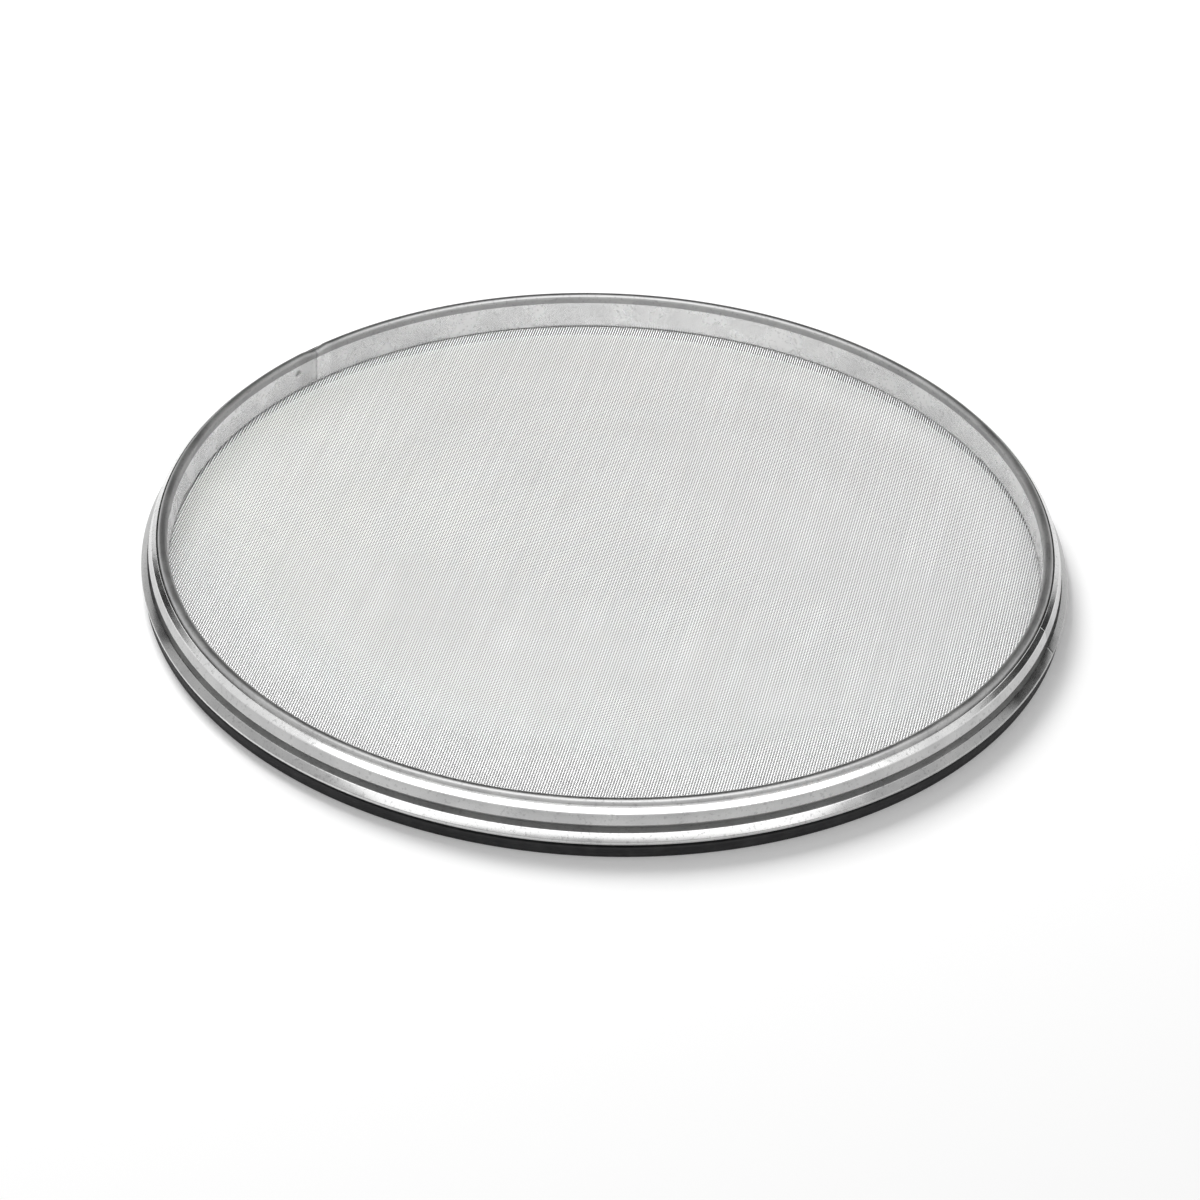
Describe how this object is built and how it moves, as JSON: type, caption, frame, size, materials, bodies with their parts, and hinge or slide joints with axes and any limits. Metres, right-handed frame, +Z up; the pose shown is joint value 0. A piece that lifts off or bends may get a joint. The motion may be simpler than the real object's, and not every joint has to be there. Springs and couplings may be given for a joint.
{
  "type": "test sieve",
  "caption": "Shallow round test sieve: a steel frame with a rolled rim clamps a disc of woven wire cloth over a rubber gasket.",
  "frame": {"origin": "centre of the circle that the gasket stands on, at floor level", "axes": "+Z up along the axis of the frame, out of the rolled rim; the frame is round, so +X and +Y only give the directions of the cloth's strips"},
  "size_m": [0.4248, 0.4248, 0.0245],
  "materials": {
    "ring_steel": "satin stainless sheet, rolled round the hoop",
    "cloth_steel": "drawn stainless wire, plain weave",
    "gasket_rubber": "matt black moulded rubber"
  },
  "bodies": {
    "root": {"inner_ring": "ring_steel", "outer_ring": "ring_steel", "wire_cloth": "cloth_steel", "gasket": "gasket_rubber"}
  },
  "joints": []
}
